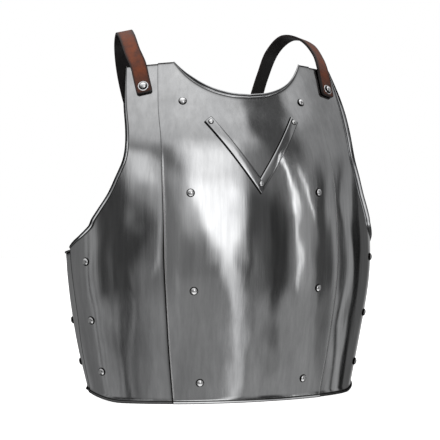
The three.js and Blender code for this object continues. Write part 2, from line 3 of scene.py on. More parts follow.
import bmesh
import bpy
from mathutils import Matrix, Vector
from mathutils import noise as fieldNoise


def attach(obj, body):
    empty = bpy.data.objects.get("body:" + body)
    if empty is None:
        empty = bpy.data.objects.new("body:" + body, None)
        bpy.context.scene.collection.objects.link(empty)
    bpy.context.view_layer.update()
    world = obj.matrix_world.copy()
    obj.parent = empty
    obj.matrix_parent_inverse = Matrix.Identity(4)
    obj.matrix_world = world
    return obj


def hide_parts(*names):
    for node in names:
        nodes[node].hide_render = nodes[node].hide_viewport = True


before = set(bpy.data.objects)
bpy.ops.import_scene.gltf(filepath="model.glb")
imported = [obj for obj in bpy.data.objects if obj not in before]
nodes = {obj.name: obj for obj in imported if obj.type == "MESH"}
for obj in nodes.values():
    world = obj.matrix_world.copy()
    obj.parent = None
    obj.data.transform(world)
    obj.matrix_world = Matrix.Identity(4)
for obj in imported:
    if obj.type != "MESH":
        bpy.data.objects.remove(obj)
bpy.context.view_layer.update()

print("frame loaded:", len(nodes), "nodes")

# Body form that every plate lies on, in metres and degrees. A place on it is a turn
# (0 at the centre front, 90 at the side) and a height. Section rows: share of the height,
# then half width, depth, setback and squareness.
bodyForm = {
    "height": 0.418,
    "halfWidth": 0.210,
    "depth": 0.130,
    "setback": 0.060,
    "backReach": 1.7,  # back of the wearer, in depths
    "blend": 0.03,  # how far along the height neighbouring sections are blended
    "turnStep": 0.5,  # small steps in degrees and metres, to find which way the form looks
    "heightStep": 0.002,
    "sections": [
        (0.00, 0.85, 0.75, 0.47, 0.08),
        (0.18, 0.93, 0.88, 0.25, 0.14),
        (0.38, 0.99, 0.96, 0.03, 0.20),
        (0.58, 1.00, 1.00, 0.02, 0.27),
        (0.76, 1.05, 1.01, 0.22, 0.31),
        (0.88, 1.10, 1.02, 0.60, 0.35),
        (1.00, 1.12, 1.07, 1.00, 0.39),
    ],
}

# Sheet steel: its wall, the gap between layers and how the edges are turned out
sheetSteel = {
    "wall": 0.0012,
    "layerGap": 0.00055,
    "bendRadius": 0.0018,
    "flangeAngle": 84,
    "bendSteps": 6,
    "legSteps": 2,
    "lipRise": 0.005,
    "lipFlare": 0.0028,
    "lipCurve": 1.5,
    "lipSteps": 8,
    "lipLift": 0.00088,  # room for the thickness of the lip under its outer face
    "rimRound": 0.00028,
    "rimBreak": 55,  # degrees past which an edge is rounded
    # Painted shade: dark shares along roots, rims, seams and the lip, where shade falls
    "shadeFade": 1.2,  # how fast painted shade fades away from a root
    "lipRoot": 5,  # row where the hem's lip starts
    "rimShade": 0.85,
    "lipDarkRows": (4, 7),
    "sideLipDark": 0.6,  # darkening of the whole lip at the sides
    # hand-beaten waves: how many a metre, height, share of that count along the height
    "waves": [(8, 0.0010, 0.6), (19, 0.00042, 0.5), (43, 0.00011, 0.3), (75, 0.00006, 0.1)],
    "waveStart": 7.3,
    "waveSink": 0.0006,  # keeps the highest wave inside the form
}

# Seams and cut lines that neighbouring plates share
cutLines = {
    "centreSeamTurn": 34,
    "centreSeam": [  # share of the height, share of the turn, skew, tuck
        (0.00, 0.98, -0.010, 1.0),
        (0.22, 0.99, -0.015, 1.0),
        (0.48, 1.00, -0.010, 1.0),
        (0.61, 0.98, 0.000, 1.0),
        (0.70, 0.93, 0.020, 1.0),
        (0.82, 0.84, 0.045, 0.93),
        (0.90, 0.80, 0.030, 0.9),
        (1.00, 0.76, 0.005, 0.3),
    ],
    "centreOverlap": 0.038,
    "sideSeamTurn": 84,
    "sideSeam": [(0.00, 1.03), (0.15, 1.00), (0.25, 0.98), (0.46, 1.00)],
    "sideOverlap": 0.036,
    "pitHeight": 0.189,
    "armhole": [  # share of the rise from the pit to the shoulder, share of the turn
        (0.00, 1.000),
        (0.03, 0.930),
        (0.06, 0.860),
        (0.11, 0.780),
        (0.15, 0.752),
        (0.20, 0.709),
        (0.28, 0.644),
        (0.37, 0.590),
        (0.48, 0.533),
        (0.63, 0.495),
        (0.80, 0.465),
        (1.00, 0.431),
    ],
    "neckTurn": 21.2,
    "neckDrop": 0.045,
    "neckEdge": [  # share of the way to the neck's corner, share of the drop that is left
        (0.00, 1.00),
        (0.24, 0.96),
        (0.43, 0.87),
        (0.58, 0.75),
        (0.70, 0.61),
        (0.82, 0.42),
        (0.91, 0.23),
        (1.00, 0.00),
    ],
    "shoulderTurn": 36.2,
    "shoulderDrop": 0.005,
    "hemRise": 0.012,
    "hemFlatTurn": 58,
    "hemHighTurn": 96,
}


# Value of a column at a place along a table, on a smooth curve through its rows
def along(rows, place, column):
    last = len(rows) - 1

    def slope(i):
        before, after = rows[max(i - 1, 0)], rows[min(i + 1, last)]
        return (after[column] - before[column]) / (after[0] - before[0])

    i = 0
    while i < last - 1 and rows[i + 1][0] < place:
        i += 1
    span = rows[i + 1][0] - rows[i][0]
    s = min(max((place - rows[i][0]) / span, 0), 1)
    start = (1 + 2 * s) * (1 - s) ** 2 * rows[i][column]
    end = s * s * (3 - 2 * s) * rows[i + 1][column]
    bend = s * (1 - s) ** 2 * span * slope(i) + s * s * (s - 1) * span * slope(i + 1)
    return start + end + bend


# Section of the form at a share of the height, blended over its neighbours so that the
# polished steel shows no step in its reflections. The blend fades out at both ends.
def section(share):
    reach = min(bodyForm["blend"], max(share, 0), max(1 - share, 0))
    rows = bodyForm["sections"]
    return [
        (along(rows, share - reach, c) + 2 * along(rows, share, c) + along(rows, share + reach, c)) / 4
        for c in range(1, 5)
    ]


sectionCache = {}


def formPoint(turn, up):
    key = round(up, 7)
    if key not in sectionCache:
        sectionCache[key] = section(up / bodyForm["height"])
    width, depth, setback, squareness = sectionCache[key]
    sine = math.sin(math.radians(turn))
    cosine = math.cos(math.radians(turn)) * (1 - squareness * sine * sine)
    return Vector((
        bodyForm["halfWidth"] * width * sine,
        bodyForm["setback"] * setback + bodyForm["depth"] * depth * (1 - cosine),
        up,
    ))


def formNormal(turn, up):
    step = bodyForm["heightStep"] * (-1 if up > bodyForm["height"] / 2 else 1)
    here = formPoint(turn, up)
    aside = formPoint(turn + bodyForm["turnStep"], up) - here
    above = (formPoint(turn, up + step) - here) * (1 if step > 0 else -1)
    return aside.cross(above).normalized()


def skin(turn, up, lift):
    return formPoint(turn, up) + formNormal(turn, up) * lift


# Turn that lies a distance along the form from another turn
def turnBy(turn, up, distance):
    step = bodyForm["turnStep"]
    perDegree = (formPoint(turn + step, up) - formPoint(turn - step, up)).length / (2 * step)
    return turn + distance / perDegree


# Side is 1 on the wearer's left and -1 on the right
sideName = {1: "left", -1: "right"}


def mirrored(vector, side):
    return Vector((side * vector.x, vector.y, vector.z))


def centreSeam(up, side):
    share = up / bodyForm["height"]
    rows = cutLines["centreSeam"]
    return cutLines["centreSeamTurn"] * (along(rows, share, 1) - side * along(rows, share, 2))


def centreTuck(up, side):
    tuck = along(cutLines["centreSeam"], up / bodyForm["height"], 3)
    return turnBy(centreSeam(up, side), up, -cutLines["centreOverlap"] * tuck)


def sideSeam(up):
    return cutLines["sideSeamTurn"] * along(cutLines["sideSeam"], up / bodyForm["height"], 1)


def armholeTurn(up):
    rise = (up - cutLines["pitHeight"]) / (bodyForm["height"] - cutLines["pitHeight"])
    return cutLines["sideSeamTurn"] * along(cutLines["armhole"], rise, 1)


def shoulderFall(turn):
    span = cutLines["shoulderTurn"] - cutLines["neckTurn"]
    return cutLines["shoulderDrop"] * min(max((turn - cutLines["neckTurn"]) / span, 0), 1)


def smoothStep(value, low, high):
    s = min(max((value - low) / (high - low), 0), 1)
    return s * s * (3 - 2 * s)


# Shallow waves of hand-beaten sheet, the same in every layer
def waveAt(x, y, z):
    total = -sheetSteel["waveSink"]
    for count, height, stretch in sheetSteel["waves"]:
        spot = Vector((x * count, y * count + sheetSteel["waveStart"], z * count * stretch))
        total += height * fieldNoise.noise(spot)
    return total


# A place on the beaten form. Side is -1 where it is mirrored to the wearer's right.
def beaten(turn, up, lift, side=1):
    point, normal = formPoint(turn, up), formNormal(turn, up)
    return point + normal * (lift + waveAt(side * point.x, point.y, up))


# A point of a plate: the hem is cut higher under the arms, and its lip leans out
def platePoint(turn, up, lift, side=1):
    hem = cutLines["hemRise"] * smoothStep(abs(turn), cutLines["hemFlatTurn"], cutLines["hemHighTurn"])
    hem *= max(0, 1 - up / cutLines["pitHeight"])
    point = beaten(turn, up + hem, lift, side)
    outwards = formNormal(turn, up + hem)
    outwards.z = 0
    inLip = max(0, 1 - up / sheetSteel["lipRise"])
    lean = sheetSteel["lipFlare"] * inLip ** sheetSteel["lipCurve"]
    point += outwards.normalized() * lean
    level = hem + up + sheetSteel["lipLift"] * inLip
    point.z += (level - point.z) * inLip
    return point


# The form's own Y starts at the chest. The frame's Y starts at the middle of the part.
hemFront = min(v.co.y for v in nodes["centre_plate"].data.vertices if v.co.z < 1e-5)
toFrame = Vector((0, hemFront - skin(0, 0, 0).y + sheetSteel["lipFlare"], 0))

layerStep = sheetSteel["wall"] + sheetSteel["layerGap"]
sideLift = -layerStep
underarmLift = -2 * layerStep


def makeObject(bm, name):
    mesh = bpy.data.meshes.new(name)
    bm.to_mesh(mesh)
    bm.free()
    piece = bpy.data.objects.new(name, mesh)
    bpy.context.scene.collection.objects.link(piece)
    return piece, mesh


# A piece takes the place of one CAD node, and its name where it has none of its own
def finishPiece(bm, node, materials, name=None):
    bmesh.ops.transform(bm, matrix=Matrix.Translation(toFrame), verts=bm.verts)
    words = node.split("_")
    piece, mesh = makeObject(bm, name or words[0] + "".join(word.title() for word in words[1:]))
    for polygon in mesh.polygons:
        polygon.use_smooth = True
    for material in materials:
        mesh.materials.append(material)
    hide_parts(node)
    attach(piece, "root")
    return piece


# Rounds the edges of a piece that are sharper than an angle
def roundEdges(piece, width, segments, sharper):
    edges = piece.modifiers.new("roundedEdges", "BEVEL")
    edges.width = width
    edges.segments = segments
    edges.limit_method = "ANGLE"
    edges.angle_limit = math.radians(sharper)


# A grid whose points are moved to their places on the form, with their painted shade, leather wear and
# painted highlight.
# Points past the sheet's own edges belong to a turned-out edge, and are dropped where it
# has none.
def gridSheet(columns, rows, place):
    bm = bmesh.new()
    bmesh.ops.create_grid(bm, x_segments=columns, y_segments=rows, size=1)
    root = bm.verts.layers.float.new("paintedShadeAndWear")
    highlight = bm.verts.layers.float.new("paintedHighlight")
    dropped = []
    for vert in bm.verts:
        found = place(round((vert.co.x + 1) / 2 * columns), round((vert.co.y + 1) / 2 * rows))
        if found is None:
            dropped.append(vert)
        else:
            vert.co = found[0]
            vert[root] = found[1]
            vert[highlight] = found[2] if len(found) > 2 else 0
    bmesh.ops.delete(bm, geom=dropped, context="VERTS")
    return bm


flangeSteps = sheetSteel["bendSteps"] + sheetSteel["legSteps"]


# A point of a turned-out edge, at a step of its bend or leg. The sheet's own edge is a
# function of a spot, from 0 to the last one, and of an inset from the edge.
def flangePoint(edgePoint, spot, last, step, reach, share):
    bendSteps, radius = sheetSteel["bendSteps"], sheetSteel["bendRadius"]
    bend = math.radians(sheetSteel["flangeAngle"]) * min(step / bendSteps, 1)
    leg = max(0, step - bendSteps) / sheetSteel["legSteps"] * (reach - radius)
    out = radius * math.sin(bend) + leg * math.cos(bend)
    lift = radius * (1 - math.cos(bend)) + leg * math.sin(bend)
    foot = edgePoint(spot, 0)
    alongEdge = edgePoint(min(spot + 0.5, last), 0) - edgePoint(max(spot - 0.5, 0), 0)
    normal = alongEdge.cross(foot - edgePoint(spot, 0.5)).normalized()
    away = normal.cross(alongEdge).normalized()
    return foot + away * (out * share) + normal * (lift * share)


# Share of its full reach that a turned-out edge has, growing away from its end
def flangeShare(atEnd, fromEnd):
    return atEnd + (1 - atEnd) * math.sin(min(fromEnd, 1) * math.pi / 2)


# Share of the painted shade on the sheet beside a turned-out edge, by rows or columns from that edge
def shadeFalloff(stepsAway):
    return math.exp(-stepsAway * stepsAway / sheetSteel["shadeFade"])


# Share of the painted shade on a turned-out edge: in its root and along its rim
def flangeShade(step):
    return max(shadeFalloff(2 * step), sheetSteel["rimShade"] * shadeFalloff(flangeSteps - step))


# Share of the painted shade in the hem's lip: along its root and its rim, and all over where
# the lip is darkened at the sides
def lipShade(row, lipDark=0):
    root = shadeFalloff(row - sheetSteel["lipRoot"])
    rim = sheetSteel["rimShade"] * shadeFalloff(2 * row)
    return max(root, rim, lipDark * (1 - smoothStep(row, *sheetSteel["lipDarkRows"])))


# Heights of the rows: close together in the lip, then even
def rowHeight(row, rows, top):
    lipSteps = sheetSteel["lipSteps"]
    lipRise = sheetSteel["lipRise"]
    if row <= lipSteps:
        return lipRise * row / lipSteps
    return lipRise + (top - lipRise) * (row - lipSteps) / (rows - lipSteps)


# A plate with its wall and rims, turned the right way round where it's mirrored
def finishPlate(bm, node, steel, side=1):
    if side < 0:
        bmesh.ops.reverse_faces(bm, faces=bm.faces)
    piece = finishPiece(bm, node, [steel])
    wall = piece.modifiers.new("wall", "SOLIDIFY")
    wall.thickness = sheetSteel["wall"]
    wall.offset = -1
    wall.use_even_offset = True
    wall.use_quality_normals = True
    roundEdges(piece, sheetSteel["rimRound"], 2, sheetSteel["rimBreak"])


centreDetail = {
    "neckColumns": 44,
    "shoulderColumns": 8,
    "rows": 130,
    "neckBase": 0.7,
    "flange": 0.0052,
    "flangeAtCorner": 0.12,
    "flangeTaper": 0.286,
    "neckShade": 0.7,
    "neckShadeNarrowed": 1.5,
    "highlightBelow": (0.27, 0.31),  # heights over which the painted highlight on the edge fades out
}


def makeCentrePlate(steel):
    neckColumns, rows = centreDetail["neckColumns"], centreDetail["rows"]
    half = neckColumns + centreDetail["shoulderColumns"]
    height = bodyForm["height"]
    base = centreDetail["neckBase"] * height

    def sheetPoint(step, row):
        side = -1 if step < 0 else 1
        neckShare = min(abs(step) / neckColumns, 1)
        shoulderShare = max(abs(step) - neckColumns, 0) / centreDetail["shoulderColumns"]
        topSeam = centreSeam(height, side)
        topTurn = cutLines["neckTurn"] * neckShare + (topSeam - cutLines["neckTurn"]) * shoulderShare
        drop = cutLines["neckDrop"] * along(cutLines["neckEdge"], neckShare, 1)
        top = height - drop - shoulderFall(topTurn)
        even = rowHeight(row, rows, height)
        up = min(even, base) + (top - base) * max(0, (even - base) / (height - base))
        turn = side * topTurn / topSeam * centreSeam(up, side)
        return platePoint(turn, up, 0)

    def edgePoint(column, inset):
        return sheetPoint(column - half, rows - inset)

    def place(column, row):
        step = column - half
        atNeck = abs(step) <= neckColumns
        # Painted shade along the neck edge and its flange, the outer columns and the lip
        if row <= rows:
            if atNeck:
                dirt = centreDetail["neckShade"] * shadeFalloff(centreDetail["neckShadeNarrowed"] * (rows - row))
            else:
                dirt = shadeFalloff(2 * (rows - row))
            point = sheetPoint(step, row)
            # Painted highlight: a white line on the outer columns, low down
            highlight = 1 - smoothStep(point.z, *centreDetail["highlightBelow"]) if abs(step) == half else 0
            return point, max(dirt, lipShade(row)), highlight
        if not atNeck:
            return None
        toCorner = (1 - abs(step) / neckColumns) / centreDetail["flangeTaper"]
        share = flangeShare(centreDetail["flangeAtCorner"], toCorner)
        point = flangePoint(edgePoint, column, 2 * half, row - rows, centreDetail["flange"], share)
        return point, centreDetail["neckShade"] * shadeFalloff(3 * (row - rows))

    bm = gridSheet(2 * half, rows + flangeSteps, place)
    finishPlate(bm, "centre_plate", steel)


sideDetail = {
    "hiddenColumns": 14,
    "columns": 84,
    "lowRows": 70,
    "highRows": 96,
    "crowding": 1.4,
    "seamCrowding": 1.25,
    "shoulderBlend": 6,
    "flange": 0.0040,
    "flangeAtEnds": 0.15,
    "flangeTaper": 0.26,
    "seamShade": 2.2,
    "rearShade": 0.9,  # painted shade along the lower rear edge, over the underarm plate
    "rearShadeNarrowed": 1.6,
}


def makeSidePlate(side, steel):
    hidden, columns = sideDetail["hiddenColumns"], sideDetail["columns"]
    lowRows, highRows = sideDetail["lowRows"], sideDetail["highRows"]
    lastRow = lowRows + highRows
    pit, height = cutLines["pitHeight"], bodyForm["height"]

    def sheetPoint(column, row):
        rise = max(0, (row - lowRows) / highRows) ** sideDetail["crowding"]
        up = pit + rise * (height - pit) if row > lowRows else rowHeight(row, lowRows, pit)
        inner, seam = centreTuck(up, side), centreSeam(up, side)
        outer = sideSeam(up) if row < lowRows else armholeTurn(up)
        shown = (max(column - hidden, 0) / (columns - hidden)) ** sideDetail["seamCrowding"]
        turn = inner + (seam - inner) * min(column / hidden, 1) + (outer - seam) * shown
        fall = shoulderFall(turn) * rise ** sideDetail["shoulderBlend"]
        return platePoint(turn, up - fall, sideLift, side)

    def edgePoint(spot, inset):
        return sheetPoint(columns - inset, lastRow - spot)

    def place(column, row):
        if column <= columns:
            point = sheetPoint(column, row)
            toRear = columns - column
            rear = sideDetail["rearShade"] * shadeFalloff(sideDetail["rearShadeNarrowed"] * toRear)
            # Painted shade along the rear edge, the upper edge, the seam under the centre plate and the
            # lip
            dirt = max(
                shadeFalloff(toRear) if row >= lowRows else rear,
                shadeFalloff(2 * (lastRow - row)),
                shadeFalloff((column - hidden) / sideDetail["seamShade"]),
                lipShade(row, sheetSteel["sideLipDark"]),
            )
        elif row < lowRows:
            return None
        else:
            toEnd = min(row - lowRows, lastRow - row) / highRows / sideDetail["flangeTaper"]
            share = flangeShare(sideDetail["flangeAtEnds"], toEnd)
            step = column - columns
            point = flangePoint(edgePoint, lastRow - row, highRows, step, sideDetail["flange"], share)
            dirt = flangeShade(step)
        return mirrored(point, side), dirt

    bm = gridSheet(columns + flangeSteps, lastRow, place)
    finishPlate(bm, f"side_plate_{sideName[side]}", steel, side)


underarmDetail = {
    "hiddenColumns": 16,
    "shownColumns": 44,
    "rows": 74,
    "drop": 0.005,
    "rearTurn": 118,
    "flange": 0.0046,
    "flangeAtFront": 0.2,
    "flangeTaper": (0.35, 0.8),
}


def makeUnderarmPlate(side, steel):
    hidden, shown = underarmDetail["hiddenColumns"], underarmDetail["shownColumns"]
    rows, rearTurn = underarmDetail["rows"], underarmDetail["rearTurn"]
    pit = cutLines["pitHeight"]
    seam = sideSeam(pit)
    tuck = turnBy(seam, pit, -cutLines["sideOverlap"])
    flangeTurn = turnBy(seam, pit, sheetSteel["bendRadius"] + layerStep)
    topHeight = pit - sheetSteel["bendRadius"] - layerStep - sheetSteel["layerGap"]

    def sheetPoint(column, row):
        hiddenShare = min(column / hidden, 1)
        shownShare = max(column - hidden, 0) / shown
        turn = tuck + (flangeTurn - tuck) * hiddenShare + (rearTurn - flangeTurn) * shownShare
        top = topHeight - underarmDetail["drop"] * min(1, 2 * shownShare)
        return platePoint(turn, rowHeight(row, rows, top), underarmLift, side)

    def edgePoint(spot, inset):
        return sheetPoint(spot + hidden, rows - inset)

    def place(column, row):
        if row <= rows:
            point = sheetPoint(column, row)
            # Painted shade along the armhole edge and in the lip
            edge = shadeFalloff(rows - row) if column >= hidden else 0
            dirt = max(edge, lipShade(row, sheetSteel["sideLipDark"]))
        elif column < hidden:
            return None
        else:
            spot, step = column - hidden, row - rows
            front = underarmDetail["flangeAtFront"]
            share = front + (1 - front) * smoothStep(spot / shown, *underarmDetail["flangeTaper"])
            point = flangePoint(edgePoint, spot, shown, step, underarmDetail["flange"], share)
            dirt = flangeShade(step)
        return mirrored(point, side), dirt

    bm = gridSheet(hidden + shown, rows + flangeSteps, place)
    finishPlate(bm, f"underarm_plate_{sideName[side]}", steel, side)


ribDetail = {
    "tipHeight": 0.256,
    "armLength": 0.0995,
    "lean": 35.4,
    "width": 0.011,
    "thickness": 0.0028,
    "chamfer": 0.0009,
    "seat": 0.0001,
    "steps": 60,
    "rivetInset": 0.005,
    "tipInset": 0.25,
    "crisp": 0.00018,
    "foot": 0.0006,  # painted shade along both sides
    "crown": 0.0004,
    "acrossSteps": 6,
    "crispBreak": 28,  # degrees past which an edge is rounded
}


# Turn of the place that lies a distance across from the middle
def turnAt(across, up):
    return math.degrees(math.asin(across / (bodyForm["halfWidth"] * section(up / bodyForm["height"])[0])))


# A strip on the form, raised off it, with its two long upper edges chamfered
def makeRib(steel):
    lean = math.radians(ribDetail["lean"])
    half = ribDetail["width"] / 2
    middle = ribDetail["tipHeight"] + half / math.sin(lean)
    steps, acrossSteps = ribDetail["steps"], ribDetail["acrossSteps"]

    def ribPoint(column, row, reach, lift):
        share = row / steps - 1
        distance = share * ribDetail["armLength"]
        sign = 0 if row == steps else math.copysign(1, share)
        edge = 1 - 2 * column / acrossSteps
        aside = distance * math.sin(lean) + edge * sign * reach * math.cos(lean)
        sag = -reach / math.sin(lean) if row == steps else -reach * math.sin(lean)
        up = middle + abs(distance) * math.cos(lean) + edge * sag
        return beaten(turnAt(aside, up), up, lift)

    upper = {}  # point on the top over each point of the foot

    def place(column, row):
        foot = ribPoint(column, row, half + ribDetail["foot"], 0)
        edge = 1 - 2 * column / acrossSteps
        lift = ribDetail["seat"] + ribDetail["thickness"] - ribDetail["crown"] * edge * edge
        upper[tuple(foot)] = ribPoint(column, row, half, lift)
        return foot, 0

    bm = gridSheet(acrossSteps, 2 * steps, place)
    bmesh.ops.recalc_face_normals(bm, faces=bm.faces)
    if sum((face.normal.y for face in bm.faces), 0) > 0:
        bmesh.ops.reverse_faces(bm, faces=bm.faces)
    base = set(bm.faces)
    raised = bmesh.ops.extrude_face_region(bm, geom=list(base), use_keep_orig=True)
    top = [item for item in raised["geom"] if isinstance(item, bmesh.types.BMVert)]
    for vert in top:
        vert.co = upper[tuple(vert.co)]
    bmesh.ops.reverse_faces(bm, faces=[face for face in bm.faces if face in base])
    topSet = set(top)
    lowVerts = [vert for vert in bm.verts if vert not in topSet]
    longEdges = [
        edge
        for edge in bm.edges
        if edge.verts[0] in topSet
        and edge.verts[1] in topSet
        and any(len(set(face.verts) & topSet) < len(face.verts) for face in edge.link_faces)
    ]
    bmesh.ops.bevel(bm, geom=longEdges, offset=ribDetail["chamfer"], offset_type="OFFSET", affect="EDGES",
        segments=1, profile=0.5, material=-1, clamp_overlap=True)
    root = bm.verts.layers.float["paintedShadeAndWear"]
    for vert in lowVerts:  # painted shade on the walls
        for face in vert.link_faces:
            for corner in face.verts:
                corner[root] = 1
    piece = finishPiece(bm, "v_rib", [steel], "chestRib")
    roundEdges(piece, ribDetail["crisp"], 2, ribDetail["crispBreak"])


rivetDetail = {
    "head": 0.0093,
    "dome": 0.0031,
    "shank": 0.0038,
    "tail": 0.007,
    "tailDome": 0.0012,
    "ribHead": 0.0058,
    "ribDome": 0.0017,
    "ribShank": 0.0026,
    "ribTail": 0.0056,
    "rim": 0.0004,
    "grime": 0.0006,  # ring of painted shade round a head
    "shadeRingTop": 0.6,  # share of its width there
    "shadeRingRise": 0.0002,
    "undercut": 0.0003,
    "shadeFrom": (0.72, 0.84),  # shares of the radius
    "shadeDepth": (0.0004, 0.001),  # below the top of the dome
    "tailRows": [(0, 1), (0.3, 0.94), (0.42, 0.6), (0.5, 0)],  # share of its width, of its dome
    "domeSteps": 8,
    "headBreak": 50,  # degrees past which an edge is sharp
    "washerBreak": 35,
    "steps": 40,
    "seatGap": 0.00005,
    "centreInset": 0.033,
    "centreRows": [(0.883, 0.89), (0.615, 1.00), (0.332, 1.00), (0.062, 1.00)],
    "sideInset": 0.025,
    "sideRows": [(0.414, 1.00), (0.241, 0.90), (0.090, 1.10)],
    "rearTurn": 102.5,
    "rearRows": [0.234, 0.109],
    "strapInset": 0.022,
    "strapHeight": 0.3865,
    "washer": 0.0132,
    "washerThickness": 0.001,
    "washerRound": 0.0003,
    "holeGap": 0.0003,
}

strapDetail = {
    "width": 0.020,
    "thickness": 0.003,
    "seat": 0.0007,
    "rearSeat": 0.0008,
    "tab": 0.0076,
    "corner": 0.0034,
    "loopRise": 0.0413,
    "crossing": 0.0046,
    "rearDrop": 0.014,
    "stepsPerStation": 16,
    "acrossSteps": 10,
    # across, back, up, rise, then the way that the outer face looks
    "run": [
        (0.605, 0.490, 1.00, 0.31, 0.45, -0.75, 0.45),
        (0.590, 0.615, 1.00, 0.80, 0.35, -0.45, 0.80),
        (0.545, 0.800, 1.00, 1.00, 0.20, 0.00, 1.00),
        (0.505, 0.930, 1.00, 0.58, -0.10, 0.70, 0.70),
        (0.465, 0.990, 0.98, 0.00, -0.35, 1.00, 0.20),
        (0.400, 1.010, 0.87, 0.00, -0.30, 1.00, 0.00),
        (0.260, 1.0138, 0.72, 0.00, -0.05, 1.00, 0.00),
        (0.000, 1.0138, 0.52, 0.00, 0.00, 1.00, 0.00),
        (-0.290, 0.990, 0.39, 0.00, -0.30, 1.00, 0.00),
        (-0.550, 0.920, 0.32, 0.00, -0.60, 0.80, 0.00),
        (-0.735, 0.835, 0.28, 0.00, -0.80, 0.55, 0.00),
    ],
    # turn past the rear rivet, share of the drop there
    "rear": [(12.5, 1.00), (6.5, 0.50), (0.0, 0.00), (-5.5, -0.42)],
    "edgeRound": 0.0007,
    "edgeBreak": 60,  # degrees past which an edge is rounded
    "edgeCrowding": 1.4,
    "darkEdge": (0.6, 0.98),  # shares of the half width
    "darkTip": 0.004,
    "darkEnd": 0.6,  # oil and polish soaked in round the rivets
    "darkReach": (0.008, 0.05),
}

strapBase = sideLift + strapDetail["seat"]
strapTop = strapBase + strapDetail["thickness"]
strapRearLift = underarmLift - sheetSteel["wall"] - strapDetail["rearSeat"] - strapDetail["thickness"] / 2


# A turned profile, spun round its own axis and set on the form
def turnedPart(profile, turn, up, side, steps):
    bm = bmesh.new()
    ring = [bm.verts.new((radius, 0, height)) for radius, height in profile]
    edges = [bm.edges.new(pair) for pair in zip(ring, ring[1:])]
    bmesh.ops.spin(bm, geom=ring + edges, cent=(0, 0, 0), axis=(0, 0, 1), dvec=(0, 0, 0),
        angle=2 * math.pi, steps=steps, use_merge=True, use_duplicate=False)
    bmesh.ops.remove_doubles(bm, verts=bm.verts, dist=1e-6)
    bmesh.ops.recalc_face_normals(bm, faces=bm.faces)
    root = bm.verts.layers.float.new("paintedShadeAndWear")
    rim = max(radius for radius, height in profile)
    top = max(height for radius, height in profile)
    # Painted shade on the outer ring and lower sides of the part
    for vert in bm.verts:
        outer = smoothStep(math.hypot(vert.co.x, vert.co.y) / rim, *rivetDetail["shadeFrom"])
        vert[root] = outer * smoothStep(top - vert.co.z, *rivetDetail["shadeDepth"])
    position = mirrored(beaten(turn, up, 0, side), side)
    normal = mirrored(formNormal(turn, up), side)
    turned = Vector((0, 0, 1)).rotation_difference(normal).to_matrix().to_4x4()
    bmesh.ops.transform(bm, matrix=Matrix.Translation(position) @ turned, verts=bm.verts)
    return bm


def rivetProfile(under, top, head, dome, shank, tail):
    rim, grime, rise = rivetDetail["rim"], rivetDetail["grime"], rivetDetail["shadeRingRise"]
    tailDome, domeSteps = rivetDetail["tailDome"], rivetDetail["domeSteps"]
    profile = [(tail * wide, under - tailDome * deep) for wide, deep in rivetDetail["tailRows"]]
    profile += [
        (shank / 2, under),
        (shank / 2, top - rise),
        (head / 2 + grime, top - rise),
        (head / 2 + grime * rivetDetail["shadeRingTop"], top + rise),
        (head / 2 - rim / 4, top + rivetDetail["undercut"]),
        (head / 2, top + rim),
    ]
    for step in range(1, domeSteps):
        angle = math.pi / 2 * step / domeSteps
        profile.append((head / 2 * math.cos(angle), top + rim + (dome - rim) * math.sin(angle)))
    return profile + [(0, top + dome)]


def rivetPiece(node, turn, up, side, top, under, steel, small=False):
    keys = ("ribHead", "ribDome", "ribShank", "ribTail") if small else ("head", "dome", "shank", "tail")
    sizes = [rivetDetail[key] for key in keys]
    bm = turnedPart(rivetProfile(under, top, *sizes), turn, up, side, rivetDetail["steps"])
    piece = finishPiece(bm, node, [steel])
    piece.data.set_sharp_from_angle(angle=math.radians(rivetDetail["headBreak"]))


def makeWasher(turn, side, steel):
    low = strapTop + rivetDetail["seatGap"]
    high = low + rivetDetail["washerThickness"]
    hole, rim = rivetDetail["shank"] / 2 + rivetDetail["holeGap"], rivetDetail["washer"] / 2
    cut = rivetDetail["washerRound"]
    profile = [(hole, low), (rim, low), (rim, high - cut), (rim - cut, high), (hole, high), (hole, low)]
    bm = turnedPart(profile, turn, rivetDetail["strapHeight"], side, rivetDetail["steps"])
    washer = finishPiece(bm, f"strap_washer_{sideName[side]}", [steel])
    washer.data.set_sharp_from_angle(angle=math.radians(rivetDetail["washerBreak"]))


def strapRivetTurn():
    up = rivetDetail["strapHeight"]
    return turnBy(armholeTurn(up), up, -rivetDetail["strapInset"])


